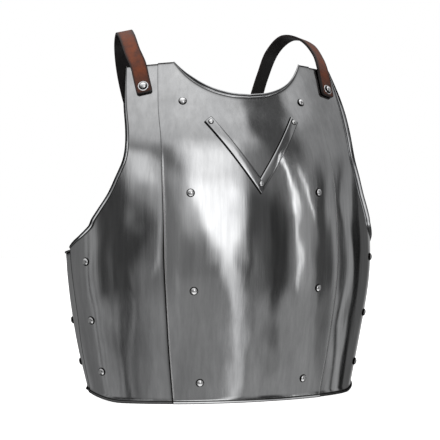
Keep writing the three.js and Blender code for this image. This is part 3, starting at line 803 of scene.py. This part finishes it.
def makeRivets(steel):
    height, wall, gap = bodyForm["height"], sheetSteel["wall"], rivetDetail["seatGap"]
    underSide, underRear = sideLift - wall - gap, underarmLift - wall - gap
    overSide, overRear = sideLift + gap, underarmLift + gap
    for side, name in sideName.items():
        for i, (share, inset) in enumerate(rivetDetail["centreRows"]):
            up = share * height
            turn = turnBy(centreSeam(up, side), up, -rivetDetail["centreInset"] * inset)
            rivetPiece(f"centre_rivet_{name}_{i + 1}", turn, up, side, gap, underSide, steel)
        for i, (share, inset) in enumerate(rivetDetail["sideRows"]):
            up = share * height
            turn = turnBy(sideSeam(up), up, -rivetDetail["sideInset"] * inset)
            rivetPiece(f"side_rivet_{name}_{i + 1}", turn, up, side, overSide, underRear, steel)
        for i, share in enumerate(rivetDetail["rearRows"]):
            # The upper one holds the strap's end too
            under = underRear if i else strapRearLift - strapDetail["thickness"] / 2 - gap
            node = f"rear_rivet_{name}_{i + 1}"
            rivetPiece(node, rivetDetail["rearTurn"], share * height, side, overRear, under, steel)
        turn, up = strapRivetTurn(), rivetDetail["strapHeight"]
        top = strapTop + rivetDetail["washerThickness"] + 2 * gap
        rivetPiece(f"strap_rivet_{name}", turn, up, side, top, underSide, steel)
        makeWasher(turn, side, steel)
    lean = math.radians(ribDetail["lean"])
    ribTop = ribDetail["seat"] + ribDetail["thickness"] + gap
    middle = ribDetail["tipHeight"] + ribDetail["width"] / 2 / math.sin(lean)
    toTip = ribDetail["width"] * ribDetail["tipInset"]
    toEnd = ribDetail["armLength"] - ribDetail["rivetInset"]
    places = [("v_rivet_left", 1, toEnd), ("v_rivet_right", -1, toEnd), ("v_rivet_tip", 0, toTip)]
    for node, side, distance in places:
        up = middle + distance * math.cos(lean)
        turn = turnAt(distance * math.sin(lean), up) if side else 0
        rivetPiece(node, turn, up, side or 1, ribTop, -wall - gap, steel, small=True)


# Middle line and outer direction of the strap that starts on the wearer's left. Crossing
# is 1 for the strap that lies outside where the two cross, and -1 for the other.
def strapStations(crossing):
    height = bodyForm["height"]
    frontUp, frontTurn = rivetDetail["strapHeight"], strapRivetTurn()
    middle = strapBase + strapDetail["thickness"] / 2
    edgeHeight = height - cutLines["shoulderDrop"]
    stations = []
    for up in (frontUp - strapDetail["tab"], frontUp, (frontUp + edgeHeight) / 2, edgeHeight):
        stations.append((skin(frontTurn, up, middle), formNormal(frontTurn, up)))
    for across, back, up, rise, faceX, faceY, faceZ in strapDetail["run"]:
        apart = crossing * (max(0, 1 - 2 * abs(across)) / 2) * strapDetail["crossing"]
        point = Vector((
            across * bodyForm["halfWidth"],
            back * bodyForm["depth"] * bodyForm["backReach"] + apart,
            up * height + rise * strapDetail["loopRise"],
        ))
        stations.append((point, Vector((faceX, faceY, faceZ)).normalized()))
    for turnPast, drop in strapDetail["rear"]:
        turn = rivetDetail["rearTurn"] + turnPast
        up = rivetDetail["rearRows"][0] * height + drop * strapDetail["rearDrop"]
        point, face = skin(turn, up, strapRearLift), formNormal(turn, up)
        stations.append((mirrored(point, -1), mirrored(face, -1)))
    return stations


# Point at a place from 0 to 1 along a smooth line through the stations
def strapPoint(stations, place):
    last = len(stations) - 1
    spot = min(max(place, 0), 1) * last
    i = min(int(spot), last - 1)
    t = spot - i
    p1, p2 = stations[i][0], stations[i + 1][0]
    p0 = stations[i - 1][0] if i > 0 else p1 * 2 - p2
    p3 = stations[i + 2][0] if i < last - 1 else p2 * 2 - p1
    d0, d1, d2 = [max((b - a).length ** 0.5, 1e-6) for a, b in ((p0, p1), (p1, p2), (p2, p3))]
    leave = ((p1 - p0) / d0 - (p2 - p0) / (d0 + d1) + (p2 - p1) / d1) * d1
    arrive = ((p2 - p1) / d1 - (p3 - p1) / (d1 + d2) + (p3 - p2) / d2) * d1
    a = (p1 - p2) * 2 + leave + arrive
    b = (p2 - p1) * 3 - leave * 2 - arrive
    return p1 + leave * t + b * t * t + a * t * t * t


def makeStrap(side, leathers):
    stations = strapStations(side)
    last = len(stations) - 1
    rows, columns = last * strapDetail["stepsPerStation"], strapDetail["acrossSteps"]
    start, end = stations[0][0], stations[-1][0]
    corner = strapDetail["corner"]
    centres = [strapPoint(stations, row / rows) for row in range(rows + 1)]

    def place(column, row):
        centre = centres[row]
        tangent = (centres[min(row + 1, rows)] - centres[max(row - 1, 0)]).normalized()
        spot = row / rows * last
        i = min(int(spot), last - 1)
        share = spot - i
        share = share * share * (3 - 2 * share)
        face = stations[i][1].lerp(stations[i + 1][1], share)
        across = tangent.cross(face).normalized()
        toEnd = min((centre - start).length, (centre - end).length)
        cut = corner - min(toEnd, corner)
        half = strapDetail["width"] / 2 - corner + math.sqrt(max(corner * corner - cut * cut, 0))
        shift = 2 * column / columns - 1
        shift = math.copysign(1 - (1 - abs(shift)) ** strapDetail["edgeCrowding"], shift)
        point = centre + across * shift * half
        dark = max(
            smoothStep(abs(shift), *strapDetail["darkEdge"]),
            1 - smoothStep(toEnd, 0, strapDetail["darkTip"]),
            strapDetail["darkEnd"] * (1 - smoothStep(toEnd, *strapDetail["darkReach"])),
        )
        return mirrored(point, side), dark

    bm = gridSheet(columns, rows, place)
    bmesh.ops.remove_doubles(bm, verts=bm.verts, dist=1e-5)
    bm.normal_update()
    nearest = min(bm.faces, key=lambda face: face.calc_center_median().y)
    if nearest.normal.y > 0:
        bmesh.ops.reverse_faces(bm, faces=bm.faces)
    piece = finishPiece(bm, f"shoulder_strap_{sideName[side]}", leathers)
    wall = piece.modifiers.new("thickness", "SOLIDIFY")
    wall.thickness = strapDetail["thickness"]
    wall.offset = 0
    wall.use_even_offset = False
    wall.material_offset = 1
    wall.material_offset_rim = 2
    roundEdges(piece, strapDetail["edgeRound"], 3, strapDetail["edgeBreak"])


# Node helpers
def newMaterial(name):
    material = bpy.data.materials.new(name)
    material.use_nodes = True
    tree = material.node_tree
    shader = tree.nodes["Principled BSDF"]
    return material, tree, shader


def setInputs(node, values):
    for name, value in values.items():
        node.inputs[name].default_value = value


def noise(tree, scale, detail, stretch=(1, 1, 1), roughness=0.5):
    place = tree.nodes.new("ShaderNodeTexCoord")
    mapping = tree.nodes.new("ShaderNodeMapping")
    mapping.inputs["Scale"].default_value = stretch
    texture = tree.nodes.new("ShaderNodeTexNoise")
    setInputs(texture, {"Scale": scale, "Detail": detail, "Roughness": roughness})
    tree.links.new(place.outputs["Object"], mapping.inputs["Vector"])
    tree.links.new(mapping.outputs["Vector"], texture.inputs["Vector"])
    return texture.outputs["Fac"]


def ramp(tree, source, stops):
    node = tree.nodes.new("ShaderNodeValToRGB")
    elements = node.color_ramp.elements
    while len(elements) < len(stops):
        elements.new(0.5)
    for element, (place, colour) in zip(elements, stops):
        element.position = place
        element.color = (*colour, 1)
    tree.links.new(source, node.inputs["Fac"])
    return node.outputs["Color"]


# Noise lies mostly between 0.3 and 0.7, and is spread over a range of values
def spread(tree, source, low, high):
    node = tree.nodes.new("ShaderNodeMapRange")
    setInputs(node, {"From Min": 0.3, "From Max": 0.7, "To Min": low, "To Max": high})
    tree.links.new(source, node.inputs["Value"])
    return node.outputs["Result"]


def mixColours(tree, factor, first, second, mode="MIX"):
    node = tree.nodes.new("ShaderNodeMix")
    node.data_type = "RGBA"
    node.blend_type = mode
    for socket, value in ((0, factor), (6, first), (7, second)):
        if isinstance(value, bpy.types.NodeSocket):
            tree.links.new(value, node.inputs[socket])
        elif socket == 0:
            node.inputs[socket].default_value = value
        else:
            node.inputs[socket].default_value = (*value, 1)
    return node.outputs[2]


def bump(tree, height, strength, distance, under=None):
    node = tree.nodes.new("ShaderNodeBump")
    setInputs(node, {"Strength": strength, "Distance": distance})
    tree.links.new(height, node.inputs["Height"])
    if under:
        tree.links.new(under, node.inputs["Normal"])
    return node.outputs["Normal"]


def attribute(tree, name):
    node = tree.nodes.new("ShaderNodeAttribute")
    node.attribute_name = name
    return node.outputs["Fac"]


plateFinish = {
    "bright": (0.72, 0.725, 0.73),
    "dull": (0.50, 0.505, 0.515),
    # Painted shade: nearly black, dull steel in crevices, seams and round rivets
    "dirt": (0.008, 0.0075, 0.007),
    "paintedShadeRoughness": 0.4,
    "paintedShadeFull": 0.7,
    # Painted highlight: white, duller steel on the lower side edges of the centre plate
    "edge": (0.95, 0.95, 0.95),
    "highlightRoughness": 0.45,
    "roughness": (0.06, 0.15),
    # noise: scale, detail, stretch along each axis, roughness
    "clouds": (9, 5, (1, 1, 0.5), 0.6),
    "streaks": (150, 5, (1, 1, 0.03), 0.65),
    "brushLines": (420, 3, (1, 1, 0.02), 0.6),
    "smears": (26, 4, (1, 1, 0.25), 0.6),
    "dents": (22, 1, (1, 1, 0.6)),
    "streakBrightness": (0.86, 1.07),
    # bump: strength and distance
    "brushDepth": (0.05, 0.0004),
    "dentDepth": (0.12, 0.01),
}


# Painted shade along roots, seams, rims and round rivets: dull and nearly black
def paintShade(tree, shader, colour, roughness):
    dirt = ramp(tree, attribute(tree, "paintedShadeAndWear"), [(0, (0, 0, 0)), (plateFinish["paintedShadeFull"], (1, 1, 1))])
    tree.links.new(mixColours(tree, dirt, colour, plateFinish["dirt"]), shader.inputs["Base Color"])
    tint = mixColours(tree, dirt, (1, 1, 1), plateFinish["dirt"])
    tree.links.new(tint, shader.inputs["Specular Tint"])
    roughness = mixColours(tree, dirt, roughness, (plateFinish["paintedShadeRoughness"],) * 3)
    tree.links.new(roughness, shader.inputs["Roughness"])
    shader.inputs["Metallic"].default_value = 1


# Polished sheet with vertical brush lines, cloudy patches, a painted highlight low on the centre plate's
# side edges and painted shade along the roots of its flanges
def makePlateSteel():
    material, tree, shader = newMaterial("polishedPlate")
    clouds = noise(tree, *plateFinish["clouds"])
    colour = ramp(tree, clouds, [(0.3, plateFinish["dull"]), (0.7, plateFinish["bright"])])
    streaks = spread(tree, noise(tree, *plateFinish["streaks"]), *plateFinish["streakBrightness"])
    colour = mixColours(tree, 1.0, colour, streaks, "MULTIPLY")
    # Painted highlight along the lower side edges of the centre plate
    highlight = attribute(tree, "paintedHighlight")
    colour = mixColours(tree, highlight, colour, plateFinish["edge"])
    lines = noise(tree, *plateFinish["brushLines"])
    smears = noise(tree, *plateFinish["smears"])
    low, high = plateFinish["roughness"]
    roughness = mixColours(tree, 0.5, spread(tree, lines, low, high), spread(tree, smears, low, high))
    roughness = mixColours(tree, highlight, roughness, (plateFinish["highlightRoughness"],) * 3)
    paintShade(tree, shader, colour, roughness)
    dented = bump(tree, noise(tree, *plateFinish["dents"]), *plateFinish["dentDepth"])
    brushed = bump(tree, lines, *plateFinish["brushDepth"], dented)
    tree.links.new(brushed, shader.inputs["Normal"])
    return material


rivetFinish = {
    "bright": (0.86, 0.86, 0.86),
    "dull": (0.66, 0.66, 0.67),
    "roughness": (0.16, 0.26),
    "patches": (240, 4),  # noise: scale, detail
    "pits": (700, 2),
    "pitDepth": (0.08, 0.0002),
}


def makeRivetSteel():
    material, tree, shader = newMaterial("brightRivet")
    patches = noise(tree, *rivetFinish["patches"])
    colour = ramp(tree, patches, [(0.3, rivetFinish["dull"]), (0.7, rivetFinish["bright"])])
    paintShade(tree, shader, colour, spread(tree, patches, *rivetFinish["roughness"]))
    pitted = bump(tree, noise(tree, *rivetFinish["pits"]), *rivetFinish["pitDepth"])
    tree.links.new(pitted, shader.inputs["Normal"])
    return material


leatherFinish = {
    "tan": (0.155, 0.035, 0.009),
    "deep": (0.05, 0.013, 0.006),
    "worn": (0.006, 0.004, 0.0035),
    # Near black flesh side: painted shade
    "flesh": (0.0025, 0.002, 0.002),
    "roughness": (0.36, 0.54),
    "sheen": 0.3,  # how strongly the surface mirrors
    "clouds": (60, 5, (1, 1, 1), 0.65),  # noise: scale, detail, stretch, roughness
    "pores": (1500, 3),
    "cells": 900,
    "lighterPatch": 2.2,
    # bump: strength and distance
    "creaseDepth": (0.25, 0.0015),
    "poreDepth": (0.3, 0.0003),
    "cellDepth": {"grain": (0.25, 0.0003), "flesh": (0.1, 0.0003), "edge": (0.1, 0.0003)},
}


def makeLeather(name, kind):
    material, tree, shader = newMaterial(name)
    clouds = noise(tree, *leatherFinish["clouds"])
    if kind == "grain":
        colour = ramp(tree, clouds, [(0.3, leatherFinish["deep"]), (0.68, leatherFinish["tan"])])
        # On the grain side this attribute is the leather's worn darkening at edges and ends
        colour = mixColours(tree, attribute(tree, "paintedShadeAndWear"), colour, leatherFinish["worn"])
    else:
        dark = leatherFinish["flesh"] if kind == "flesh" else leatherFinish["worn"]
        light = tuple(c * leatherFinish["lighterPatch"] for c in dark)
        colour = ramp(tree, clouds, [(0.3, dark), (0.75, light)])
    tree.links.new(colour, shader.inputs["Base Color"])
    tree.links.new(spread(tree, clouds, *leatherFinish["roughness"]), shader.inputs["Roughness"])
    shader.inputs["Specular IOR Level"].default_value = leatherFinish["sheen"]
    cells = tree.nodes.new("ShaderNodeTexVoronoi")
    cells.feature = "SMOOTH_F1"
    cells.inputs["Scale"].default_value = leatherFinish["cells"]
    place = tree.nodes.new("ShaderNodeTexCoord")
    tree.links.new(place.outputs["Object"], cells.inputs["Vector"])
    creased = bump(tree, clouds, *leatherFinish["creaseDepth"])
    grained = bump(tree, cells.outputs["Distance"], *leatherFinish["cellDepth"][kind], creased)
    pores = bump(tree, noise(tree, *leatherFinish["pores"]), *leatherFinish["poreDepth"], grained)
    tree.links.new(pores, shader.inputs["Normal"])
    return material


plateSteel = makePlateSteel()
rivetSteel = makeRivetSteel()
leathers = [makeLeather(f"strap{kind.title()}", kind) for kind in ("grain", "flesh", "edge")]
print("materials made")
makeCentrePlate(plateSteel)
for side in sideName:
    makeSidePlate(side, plateSteel)
    makeUnderarmPlate(side, plateSteel)
print("plates made")
makeRib(plateSteel)
makeRivets(rivetSteel)
print("rib and rivets made")
for side in sideName:
    makeStrap(side, leathers)
print("straps made")

# What the steel mirrors. Turns are degrees from the front towards the wearer's left, and
# heights are degrees above the horizon.
studio = {
    "rise": [  # height, brightness
        (-90, 1.2), (-40, 1.1), (-30, 0.35), (-21, 0.3), (-10, 0.2), (10, 0.18),
        (24, 0.32), (34, 0.66), (50, 0.74), (62, 1.35), (90, 1.4),
    ],
    # soft boxes and cards: turn, half width, lean, low, high, soft aside and above, brightness
    "panels": [
        (-125, 58, 0, -90, -30, 12, 5, 0.08),
        (125, 58, 0, -90, -30, 12, 5, 0.08),
        (-112, 20, 0, -40, 12, 6, 6, 0.2),
        (-84, 8, 0, -24, 6, 2, 5, 0.36),
        (-87, 1.4, 0, -22, 4, 1, 5, 0.13),
        (-79, 1.2, 0, -22, 2, 1, 5, 0.2),
        (-57, 17, 0, -18, 9, 3, 2.5, 0.055),
        (-64, 1.5, 0, -22, 2, 1, 5, 0.12),
        (-56, 2.5, 0, -26, -6, 2, 4, 0.07),
        (-48, 2.5, 0, -26, -6, 2, 5, 0.15),
        (-42, 3, 0, -26, -2, 1.5, 5, 0.22),
        (-43, 9, 0, 8, 20, 3, 4, 0.95),
        (-36, 1.2, 0, -8, 18, 0.8, 5, 0.6),
        (-28.5, 4.5, 0, -8, 27, 3, 5, 0.19),
        (-13, 13, 0, -28, -12, 6, 5, 0.26),
        (-24, 2, 0, -26, -8, 1.5, 4, 0.32),
        (27, 15, 0, -17, 11, 4, 4, 0.085),
        (34, 5, 0, -22, 8, 3, 4, 0.04),
        (20, 2, 0, -24, -4, 2, 4, 0.2),
        (46, 18, 0, 16, 52, 7, 6, 0.1),
        (79, 17, 0, 8, 36, 5, 6, 0.32),
        (69, 5, 0, -16, 12, 2.5, 5, 0.06),
        (64, 0.8, 0, -20, 10, 0.8, 4, 0.3),
        (79, 3, 0, -20, 12, 1.5, 5, 0.34),
        (85, 2, 0, -20, 8, 1.2, 5, 0.05),
        (92, 4, 0, -20, 8, 1.5, 5, 0.36),
        (116, 14, 0, -30, 12, 4, 6, 0.11),
        (101, 4.5, 0, -30, 3, 1.2, 2, 0.015),
        (140, 10, 0, -30, 12, 5, 6, 0.35),
        (57, 4.5, 0, -18, 12, 1.6, 5, 0.36),
        (54, 1.3, -0.62, 4, 21, 0.9, 2, 2.4),
        (51, 1.3, 0, -14, 6, 1.1, 4, 1.3),
        (66, 0.9, -0.9, 3, 14, 0.6, 2, 1.6),
        (-13, 8, -0.6, 2, 14, 6, 6, 0.8),
        (-4, 17, 0, 11, 33, 6, 8, 1.35),
        (-2, 8.5, -0.7, -3, 13, 5, 5, 1.85),
        (3, 6, 0, -1, 13, 4, 4, 1.85),
        (3.3, 4.4, -0.45, -12, 4, 3.4, 5, 1.8),
        (3.1, 3.6, -0.45, -26, -6, 3.4, 5, 0.95),
    ],
    "background": 1.0,
}


# A bright room with soft boxes and dark cards, as the steel sees it. The camera sees a
# plain pale ground.
def makeRoom():
    world = bpy.data.worlds.new("studio")
    bpy.context.scene.world = world
    world.use_nodes = True
    tree = world.node_tree
    background = tree.nodes["Background"]
    place = tree.nodes.new("ShaderNodeTexCoord")
    parts = tree.nodes.new("ShaderNodeSeparateXYZ")
    tree.links.new(place.outputs["Generated"], parts.inputs["Vector"])

    def maths(kind, *values):
        node = tree.nodes.new("ShaderNodeMath")
        node.operation = kind
        for socket, value in zip(node.inputs, values):
            if isinstance(value, bpy.types.NodeSocket):
                tree.links.new(value, socket)
            else:
                socket.default_value = value
        return node.outputs["Value"]

    towardsFront = maths("MULTIPLY", parts.outputs["Y"], -1)
    around = maths("DEGREES", maths("ARCTAN2", parts.outputs["X"], towardsFront))
    height = maths("DEGREES", maths("ARCSINE", parts.outputs["Z"]))

    # 1 within a reach of a middle, fading to 0 over a soft edge
    def within(value, middle, reach, soft):
        node = tree.nodes.new("ShaderNodeMapRange")
        node.interpolation_type = "SMOOTHSTEP"
        setInputs(node, {"From Min": reach + soft, "From Max": max(reach - soft, 0)})
        tree.links.new(maths("ABSOLUTE", maths("SUBTRACT", value, middle)), node.inputs["Value"])
        return node.outputs["Result"]

    levelShare = maths("MULTIPLY_ADD", height, 1 / 180, 0.5)
    room = ramp(tree, levelShare, [(level / 180 + 0.5, (glow,) * 3) for level, glow in studio["rise"]])
    for turn, half, lean, low, high, softAside, softAbove, glow in studio["panels"]:
        middle = maths("ADD", maths("MULTIPLY", height, lean), turn) if lean else turn
        mask = maths("MULTIPLY", within(around, middle, half, softAside),
            within(height, (low + high) / 2, (high - low) / 2, softAbove))
        room = mixColours(tree, mask, room, (glow,) * 3)
    seen = tree.nodes.new("ShaderNodeLightPath")
    colour = mixColours(tree, seen.outputs["Is Camera Ray"], room, (studio["background"],) * 3)
    tree.links.new(colour, background.inputs["Color"])


floorFinish = {"half": 4, "drop": 0.0006, "paper": (0.9, 0.9, 0.9), "roughness": 0.9, "glow": 0.75}


def makeFloor():
    bm = bmesh.new()
    bmesh.ops.create_grid(bm, x_segments=1, y_segments=1, size=floorFinish["half"])
    floor, mesh = makeObject(bm, "paleFloor")
    floor.location.z = -floorFinish["drop"]
    paper, tree, shader = newMaterial("palePaper")
    setInputs(shader, {
        "Base Color": (*floorFinish["paper"], 1),
        "Roughness": floorFinish["roughness"],
        "Emission Color": (1, 1, 1, 1),
        "Emission Strength": floorFinish["glow"],
    })
    mesh.materials.append(paper)
    floor.visible_glossy = False


keyLight = {
    "size": (0.9, 1.4),
    "energy": 26,
    "turn": -30,
    "height": 1.3,
    "distance": 2.0,
    "aimHeight": 0.3,
}


def makeKeyLight():
    light = bpy.data.lights.new("softKey", "AREA")
    light.shape = "RECTANGLE"
    light.size, light.size_y = keyLight["size"]
    light.energy = keyLight["energy"]
    lamp = bpy.data.objects.new("softKey", light)
    turn, distance = math.radians(keyLight["turn"]), keyLight["distance"]
    lamp.location = (distance * math.sin(turn), -distance * math.cos(turn), keyLight["height"])
    aim = Vector((0, 0, keyLight["aimHeight"])) - lamp.location
    lamp.rotation_euler = aim.to_track_quat("-Z", "Y").to_euler()
    lamp.visible_glossy = False
    lamp.visible_camera = False
    bpy.context.scene.collection.objects.link(lamp)


# Place and angle of the photograph's camera, in degrees, metres and millimetres of lens
photoCamera = {
    "turn": 24,
    "down": 1.6,
    "distance": 2.25,
    "focus": 0.210,
    "lens": 152,
    "sensor": 36,
    "panRight": -0.0509,
    "panUp": 0.01405,
}


def makeCamera():
    turn, down = math.radians(photoCamera["turn"]), math.radians(photoCamera["down"])
    forward = Vector((math.sin(turn) * math.cos(down), math.cos(turn) * math.cos(down), -math.sin(down)))
    right = Vector((math.cos(turn), -math.sin(turn), 0))
    up = right.cross(forward)
    focus = Vector((0, 0, photoCamera["focus"])) + toFrame
    data = bpy.data.cameras.new("photoCamera")
    data.lens = photoCamera["lens"]
    data.sensor_width = photoCamera["sensor"]
    camera = bpy.data.objects.new("photoCamera", data)
    bpy.context.scene.collection.objects.link(camera)
    camera.location = focus - forward * photoCamera["distance"]
    aim = focus + right * photoCamera["panRight"] + up * photoCamera["panUp"]
    camera.rotation_euler = (aim - camera.location).to_track_quat("-Z", "Y").to_euler()
    bpy.context.scene.camera = camera


bpy.context.scene.view_settings.view_transform = "Standard"
makeRoom()
makeFloor()
makeKeyLight()
makeCamera()
print("studio and camera made")
